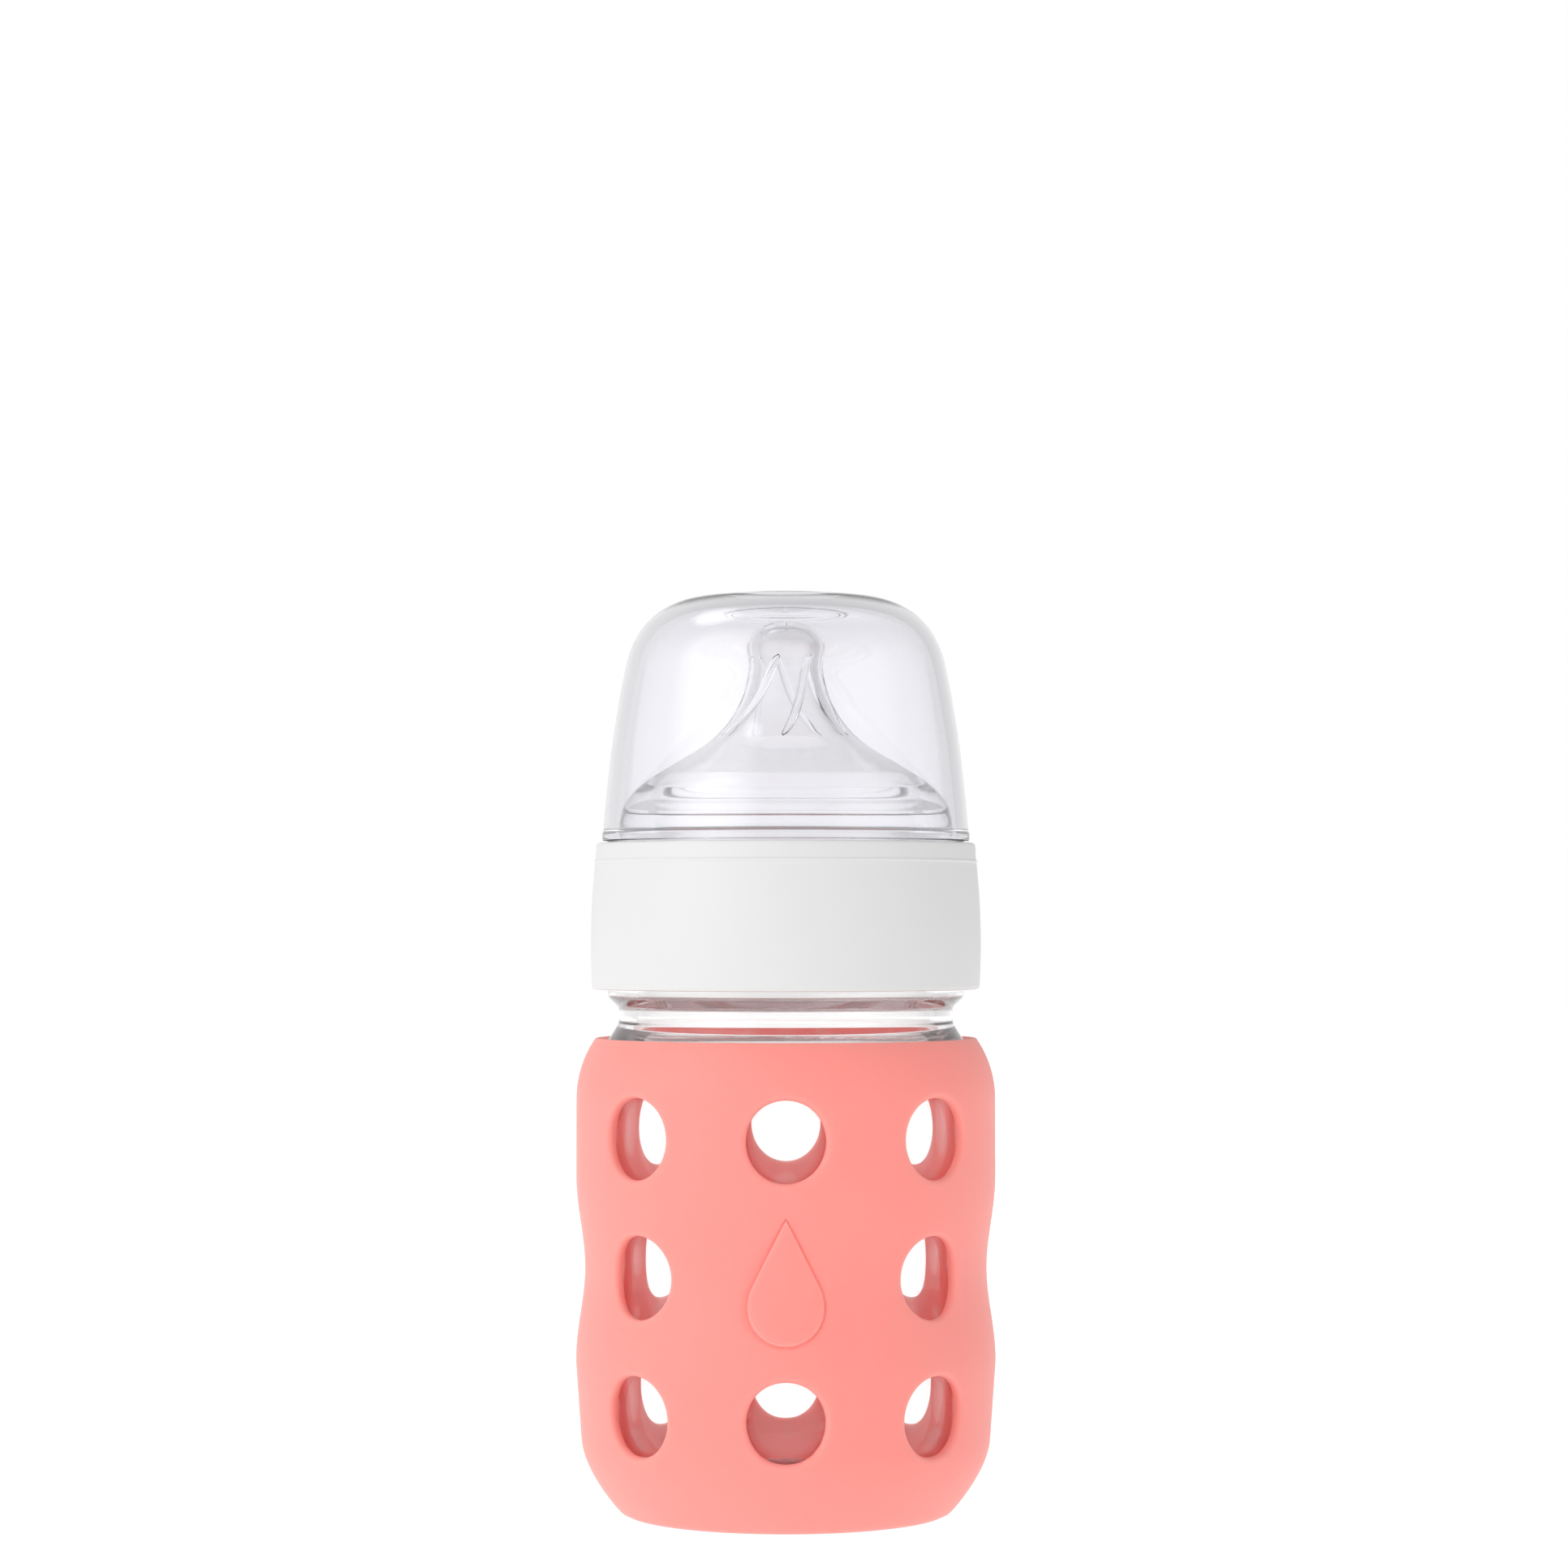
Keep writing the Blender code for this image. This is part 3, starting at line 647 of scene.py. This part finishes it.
def makeSleeve():
    # a flat sheet of tiles, x round the bottle and y along its line, rolled up and thickened inwards
    s = sleeve
    line = sleeveLine()
    flatRadius = glass["bodyRadius"] + s["gap"] + s["wall"]
    rows = [distanceTo(line, height) for height in s["windowHeights"]]
    tileHeight = (rows[2] - rows[0]) / 2
    tileWidth = fullTurn * flatRadius / s["columns"]
    bm = bmesh.new()
    lift = bm.verts.layers.float.new("lift")
    for column in range(1 - s["columns"] // 2, s["columns"] // 2 + 1):
        for row, middle in enumerate((rows[1] - tileHeight, rows[1], rows[1] + tileHeight)):
            centre = Vector((column * tileWidth, middle, 0))
            if column == 0 and row == 1:
                dropTile(bm, centre, tileWidth, tileHeight)
            elif column in s["openColumns"]:
                outlinedTile(bm, centre, tileWidth, tileHeight, windowReach)
            else:
                plainTile(bm, centre, tileWidth, tileHeight)
    bmesh.ops.remove_doubles(bm, verts=bm.verts[:], dist=0.002 * mm)
    lowest = rows[1] - 1.5 * tileHeight
    highest = rows[1] + 1.5 * tileHeight
    total = sum(math.dist(a, b) for a, b in zip(line, line[1:]))
    for border, end, steps in ((lowest, 0.0, s["rowsBelow"]), (highest, total, s["rowsAbove"])):
        ring = [vert for vert in bm.verts if abs(vert.co.y - border) < 0.005 * mm]
        for step in range(1, steps + 1):
            target = border + (end - border) * step / steps
            ring = grownLoop(bm, ring, lambda place, target=target: Vector((place.x, target, 0)))
    for vert in bm.verts:
        radius, height = alongLine(line, vert.co.y)
        angle = vert.co.x / flatRadius
        vert[lift] = vert.co.z
        vert.co = (radius * math.sin(angle), -radius * math.cos(angle), height)
    bmesh.ops.remove_doubles(bm, verts=bm.verts[:], dist=0.005 * mm)
    bmesh.ops.recalc_face_normals(bm, faces=bm.faces[:])
    bm.faces.ensure_lookup_table()
    side = max(bm.faces, key=lambda face: face.calc_center_median().x)
    if side.normal.x < 0:
        bmesh.ops.reverse_faces(bm, faces=bm.faces[:])
    piece = newObject("windowed_sleeve", bm)
    thicken = piece.modifiers.new("wall", "SOLIDIFY")
    thicken.thickness = s["wall"] + s["snug"]
    thicken.offset = -1
    thicken.use_even_offset = True
    applyModifiers(piece)
    finishSkin(piece)
    piece.data.shade_smooth()
    place(piece, sleeveSilicone(), "bottle", "silicone_sleeve", "coral_silicone")
    print("sleeve made,", len(piece.data.polygons), "faces")


collar = {
    "topRadius": 30.9 * mm,
    "wideRadius": 31.7 * mm,
    "footRadius": 31.5 * mm,
    "lineDrop": 3.0 * mm,
    "lineProud": 0.2 * mm,
    "recessRadius": 29.3 * mm,
    "recessDepth": 2.2 * mm,
    "plate": 1.6 * mm,
    "plateBore": 23.0 * mm,
    "bore": 28.5 * mm,
    "clear": 29.2 * mm,
    "clearHeight": 2.1 * mm,
    "threadDrop": 13.9 * mm,  # below the glass's rim
    "threadTurns": 1.25,
    "sharpAngle": math.radians(38),
}


def makeCollar():
    c = collar
    low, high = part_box("screw_collar")
    foot = low.z
    top = high.z
    line = top - c["lineDrop"]
    skirt = smoothLine([
        (c["footRadius"], foot + 0.5 * mm),
        (c["footRadius"] + 0.12 * mm, foot + 3.5 * mm),
        (c["wideRadius"], foot + 8.3 * mm),
        (c["footRadius"], foot + 14.5 * mm),
        (c["topRadius"] + 0.15 * mm, line - 0.5 * mm),
    ], 8)
    plateTop = top - c["recessDepth"]
    profile = filletLine([
        (c["footRadius"] - 0.5 * mm, foot),
        (c["footRadius"] - 0.15 * mm, foot + 0.12 * mm),
        *skirt,
        (c["topRadius"] + 0.15 * mm, line - 0.2 * mm, 0.1 * mm),
        (c["topRadius"] + c["lineProud"] + 0.1 * mm, line, 0.12 * mm),
        (c["topRadius"] + 0.05 * mm, line + 0.3 * mm, 0.1 * mm),
        (c["topRadius"] - 0.1 * mm, top, 0.6 * mm),
        (c["recessRadius"], top, 0.3 * mm),
        (c["recessRadius"], plateTop, 0.3 * mm),
        (c["plateBore"], plateTop, 0.4 * mm),
        (c["plateBore"], plateTop - c["plate"], 0.4 * mm),
        (c["bore"], plateTop - c["plate"], 0.4 * mm),
        (c["bore"], foot + c["clearHeight"] + 0.7 * mm, 0.2 * mm),
        (c["clear"], foot + c["clearHeight"], 0.2 * mm),
        (c["clear"], foot, 0.4 * mm),
        (c["clear"] + 0.8 * mm, foot),
    ], steps=5)
    piece = newObject("collar_ring", spun(profile))
    # the thread's section: radius, and height from its middle
    ridge = [
        (c["bore"] + 0.4 * mm, -1.0 * mm),
        (c["bore"], -1.0 * mm),
        (c["bore"] - 1.2 * mm, -0.5 * mm),
        (c["bore"] - 1.5 * mm, 0.0),
        (c["bore"] - 1.2 * mm, 0.5 * mm),
        (c["bore"], 1.0 * mm),
        (c["bore"] + 0.4 * mm, 1.0 * mm),
    ]
    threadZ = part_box("glass_bottle")[1].z - c["threadDrop"]
    section = [(r, z + threadZ) for r, z in ridge]
    thread = helix("collar_thread", section, fullTurn / 4, glass["pitch"], c["threadTurns"])
    joinTo(piece, thread)
    piece.data.shade_smooth()
    piece.data.set_sharp_from_angle(angle=c["sharpAngle"])
    place(piece, collarPlastic(), "collar", "screw_collar", "white_polypropylene")
    print("collar made,", len(piece.data.polygons), "faces")


nipple = {
    "flangeRadius": 26.9 * mm,
    "flange": 2.2 * mm,
    "grooveRadius": 22.7 * mm,
    "groove": 2.2 * mm,
    "bulgeRadius": 27.2 * mm,
    "ringBore": 21.2 * mm,
    "wall": 1.65 * mm,
    "holeRadius": 0.4 * mm,
    "innerReach": 27.6 * mm,  # how far below the tip the thin wall ends
    "innerFlat": 2.0 * mm,  # radius of the flat inside the tip
    "ribs": 5,
    "ribWidth": 1.5 * mm,
    "ribDepth": 0.75 * mm,
    "ribSteps": 44,
    "ribTop": 6.7 * mm,
    "ribLength": 14.0 * mm,
    "ribTwist": math.radians(60),
    "ribStart": math.radians(-14.5),
    "sharpAngle": math.radians(50),
}


def nippleLines():
    # the bulge, dome and teat from outside, and the thin wall's inside
    n = nipple
    low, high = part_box("nipple")
    tip = high.z
    outer = smoothLine([
        (n["bulgeRadius"], tip - 38.3 * mm),
        (n["bulgeRadius"], tip - 35.6 * mm),
        (26.75 * mm, tip - 32.5 * mm),
        (25.6 * mm, tip - 30.1 * mm),
        (22.7 * mm, tip - 27.3 * mm),
        (18.5 * mm, tip - 24.6 * mm),
        (13.2 * mm, tip - 21.4 * mm),
        (10.4 * mm, tip - 18.9 * mm),
        (8.5 * mm, tip - 16.4 * mm),
        (7.0 * mm, tip - 13.3 * mm),
        (6.05 * mm, tip - 9.2 * mm),
        (6.4 * mm, tip - 5.1 * mm),
        (5.9 * mm, tip - 3.1 * mm),
        (4.4 * mm, tip - 1.3 * mm),
        (2.3 * mm, tip - 0.3 * mm),
        (n["holeRadius"], tip),
    ], 6)
    inner = [
        point for point in offsetLine(outer, -n["wall"])
        if tip - n["innerReach"] < point[1] and point[0] > n["innerFlat"]
    ]
    return low.z, tip, outer, inner


def ribFrame(inner, tip, rib, share):
    # where a rib's section sits this share of the way down, as a matrix for a unit circle
    n = nipple
    height = tip - n["ribTop"] - n["ribLength"] * share
    radius = next(
        a[0] + (b[0] - a[0]) * (height - a[1]) / (b[1] - a[1])
        for a, b in zip(inner, inner[1:]) if a[1] <= height <= b[1]
    )
    fade = 0.15 + 0.85 * math.sqrt(1 - abs(2 * share - 1) ** 6)
    angle = n["ribStart"] + fullTurn * rib / n["ribs"] - n["ribTwist"] * share**0.85
    return (
        Matrix.Rotation(angle, 4, "Z")
        @ Matrix.Translation((0, -radius, height))
        @ Matrix.Diagonal((n["ribWidth"] / 2 * fade, n["ribDepth"] * fade, 1, 1))
    )


def ribRidges(inner, tip):
    # ribs on the teat's inner wall: a small oval carried down the wall as it turns
    n = nipple
    bm = bmesh.new()
    for rib in range(n["ribs"]):
        frames = [ribFrame(inner, tip, rib, step / n["ribSteps"]) for step in range(n["ribSteps"] + 1)]
        loop = bmesh.ops.create_circle(bm, cap_ends=True, segments=14, radius=1.0)["verts"]
        bmesh.ops.transform(bm, matrix=frames[0], verts=loop)
        for before, after in zip(frames, frames[1:]):
            move = after @ before.inverted()
            loop = grownLoop(bm, loop, lambda place, move=move: move @ place)
        bmesh.ops.contextual_create(bm, geom=loopEdges(loop))
    bmesh.ops.recalc_face_normals(bm, faces=bm.faces[:])
    return newObject("rib_ridges", bm)


def makeNipple():
    n = nipple
    bottom, tip, outer, inner = nippleLines()
    plate = bottom + n["flange"] + n["groove"]
    # the flange, the groove that holds the collar's plate, and the step inside the bulge
    base = filletLine([
        (n["ringBore"], plate + 5.6 * mm),
        (n["ringBore"], bottom, 0.4 * mm),
        (n["flangeRadius"], bottom, 0.5 * mm),
        (n["flangeRadius"], bottom + n["flange"], 0.5 * mm),
        (n["grooveRadius"], bottom + n["flange"], 0.3 * mm),
        (n["grooveRadius"], plate, 0.3 * mm),
        (n["bulgeRadius"], plate, 0.6 * mm),
        outer[0],
    ], steps=5)
    ledge = filletLine([
        inner[0],
        (21.6 * mm, plate + 9.6 * mm, 1.2 * mm),
        (22.6 * mm, plate + 6.3 * mm, 0.8 * mm),
        (22.6 * mm, plate + 5.75 * mm, 0.2 * mm),
        (n["ringBore"], plate + 5.6 * mm),
    ], steps=5)
    tipInner = [(n["holeRadius"], tip - n["wall"])]
    profile = [*base, *outer[1:], *tipInner, *reversed(inner), *ledge[1:-1]]
    piece = newObject("nipple_body", spun(profile))
    joinTo(piece, ribRidges(inner, tip))
    piece.data.shade_smooth()
    piece.data.set_sharp_from_angle(angle=n["sharpAngle"])
    place(piece, nippleSilicone(), "nipple", "nipple", "clear_silicone")
    print("nipple made,", len(piece.data.polygons), "faces")


cap = {
    "footRadius": 29.9 * mm,
    "wall": 1.9 * mm,
    "band": 1.3 * mm,
    "spigot": 29.0 * mm,
    "seat": 2.2 * mm,  # spigot's length
    "ringRadius": 9.5 * mm,
    "ringWidth": 1.3 * mm,
    "ringProud": 0.25 * mm,
    "crownDrop": 0.1 * mm,  # the middle of the top, below the ring's highest line
}


def makeCap():
    c = cap
    low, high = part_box("dome_cap")
    seat = low.z + c["seat"]
    crown = high.z - c["crownDrop"]
    sideTop = (26.0 * mm, seat + 28.7 * mm)
    cornerEnd = (11.2 * mm, crown - 0.25 * mm)
    bandTop = seat + c["band"]
    side = smoothLine([
        (c["footRadius"] - 0.15 * mm, bandTop + 0.2 * mm),
        (29.2 * mm, seat + 7.6 * mm),
        (28.3 * mm, seat + 15.6 * mm),
        (27.05 * mm, seat + 23.5 * mm),
        sideTop,
    ], 8)
    corner = bezierLine(
        sideTop, (24.7 * mm, seat + 34.8 * mm), (20.4 * mm, crown - 0.05 * mm), cornerEnd, 24
    )
    skin = [*side[:-1], *corner]
    inside = offsetLine([*skin, (0, crown)], -c["wall"])
    inside[-1] = (0, crown - c["wall"])
    ringOut = c["ringRadius"] + c["ringWidth"] / 2
    ringIn = c["ringRadius"] - c["ringWidth"] / 2
    top = filletLine([
        cornerEnd,
        (ringOut, crown - 0.2 * mm, 0.15 * mm),
        (ringOut - 0.25 * mm, crown - 0.2 * mm + c["ringProud"] * 0.85, 0.2 * mm),
        (ringIn + 0.25 * mm, crown - 0.2 * mm + c["ringProud"] * 0.85, 0.2 * mm),
        (ringIn, crown - 0.15 * mm, 0.15 * mm),
        (0, crown),
    ], steps=4)
    foot = filletLine([
        inside[0],
        (inside[0][0], low.z, 0.25 * mm),
        (c["spigot"], low.z, 0.25 * mm),
        (c["spigot"], seat, 0.15 * mm),
        (c["footRadius"], seat, 0.25 * mm),
        (c["footRadius"], bandTop, 0.15 * mm),
        skin[0],
    ], steps=4)
    profile = [*reversed(inside), *foot[1:-1], *skin[:-1], *top]
    piece = newObject("dome_shell", spun(profile, closed=False))
    place(piece, capPlastic(), "cap", "dome_cap", "clear_polypropylene")
    print("cap made,", len(piece.data.polygons), "faces")


studio = {
    "floorRadius": 4.0,
    "eyeHeight": 95.8 * mm,
    "distance": 700 * mm,
    "sideways": -0.3 * mm,
    "pitch": math.radians(1.82),
    "lens": 98.7,
    # brightness of the tent along each axis, from the negative end at 0 to the positive end at 1
    "tent": {
        "X": ((0.0, 1.07), (0.5, 1.0), (1.0, 0.84)),
        "Y": ((0.0, 0.9), (0.3, 0.83), (0.5, 0.77), (0.9, 0.77), (0.975, 0.8), (0.997, 1.03)),
        "Z": ((0.5, 1.0), (0.72, 0.95), (1.0, 0.7)),
    },
    # soft round lights far off in the tent: direction, inner and outer edge in degrees, strength
    "spots": (
        ((-0.72, -0.55, 0.42), 2, 38, 1.6),
        ((0.8, -0.5, 0.35), 2, 30, 0.5),
        ((-0.45, 0.25, 0.86), 4, 13, 2.6),
    ),
}


def makeCamera():
    s = studio
    data = bpy.data.cameras.new("camera")
    data.lens = s["lens"]
    data.sensor_width = 36
    data.clip_start = 0.01
    camera = bpy.data.objects.new("camera", data)
    camera.location = (s["sideways"], -s["distance"], s["eyeHeight"])
    camera.rotation_euler = (math.pi / 2 + s["pitch"], 0, 0)
    bpy.context.scene.collection.objects.link(camera)
    bpy.context.scene.camera = camera


def makeFloor():
    bm = bmesh.new()
    bmesh.ops.create_circle(bm, segments=64, radius=studio["floorRadius"], cap_ends=True)
    floor = newObject("floor", bm)
    # it glows, so that only the contact shadow shows
    material, tree, shader = newMaterial("studio_floor_white", {
        "Base Color": hexColor("808080"), "Roughness": 0.9, "Specular IOR Level": 0.0,
        "Emission Color": (1, 1, 1, 1), "Emission Strength": 0.97,
    })
    floor.data.materials.append(material)


def makeWorld():
    # white to the camera; to everything else a soft tent, white far behind and greyer elsewhere
    world = bpy.data.worlds.new("studio")
    bpy.context.scene.world = world
    world.use_nodes = True
    tree = world.node_tree
    tree.nodes.clear()
    where = addNode(tree, "ShaderNodeTexCoord")
    direction = where.outputs["Generated"]
    axes = addNode(tree, "ShaderNodeSeparateXYZ", None, {"Vector": direction})
    level = None
    for axis, stops in studio["tent"].items():
        share = addNode(tree, "ShaderNodeMapRange", {"From Min": -1.0}, {"Value": axes.outputs[axis]})
        ramp = addNode(tree, "ShaderNodeValToRGB", None, {"Fac": share.outputs["Result"]})
        elements = ramp.color_ramp.elements
        while len(elements) < len(stops):
            elements.new(0.5)
        for element, (position, value) in zip(elements, stops):
            element.position = position
            element.color = (value, value, value, 1)
        grey = ramp.outputs["Color"]
        if level is None:
            level = grey
        else:
            both = {0: level, 1: grey}
            level = addNode(tree, "ShaderNodeMath", {"operation": "MULTIPLY"}, both).outputs[0]
    for toward, inner, outer, strength in studio["spots"]:
        dot = addNode(tree, "ShaderNodeVectorMath", {"operation": "DOT_PRODUCT"}, {0: direction})
        dot.inputs[1].default_value = Vector(toward).normalized()
        glow = addNode(
            tree, "ShaderNodeMapRange",
            {
                "interpolation_type": "SMOOTHSTEP", "From Min": math.cos(math.radians(outer)),
                "From Max": math.cos(math.radians(inner)), "To Max": strength,
            },
            {"Value": dot.outputs["Value"]},
        )
        both = {0: level, 1: glow.outputs["Result"]}
        level = addNode(tree, "ShaderNodeMath", {"operation": "ADD"}, both).outputs[0]
    tent = addNode(tree, "ShaderNodeBackground", {"Strength": 1.0}, {"Color": level})
    plain = addNode(tree, "ShaderNodeBackground", {"Color": (1, 1, 1, 1), "Strength": 1.0})
    path = addNode(tree, "ShaderNodeLightPath")
    mix = addNode(
        tree, "ShaderNodeMixShader", None,
        {0: path.outputs["Is Camera Ray"], 1: tent.outputs[0], 2: plain.outputs[0]},
    )
    addNode(tree, "ShaderNodeOutputWorld", None, {"Surface": mix.outputs[0]})


def makeStudio():
    makeCamera()
    makeFloor()
    makeWorld()
    scene = bpy.context.scene
    scene.view_settings.view_transform = "Standard"
    # light crosses the cap, the nipple and the glass on both sides, so it bounces many times
    scene.cycles.max_bounces = 48
    scene.cycles.transmission_bounces = 40
    scene.cycles.glossy_bounces = 8
    scene.cycles.diffuse_bounces = 16
    scene.cycles.sample_clamp_indirect = 4
    scene.cycles.use_denoising = True
    scene.cycles.blur_glossy = 0  # keeps the light that reaches the sleeve through the glass
    print("studio made")


makeStudio()
makeGlass()
makeSleeve()
makeCollar()
makeNipple()
makeCap()
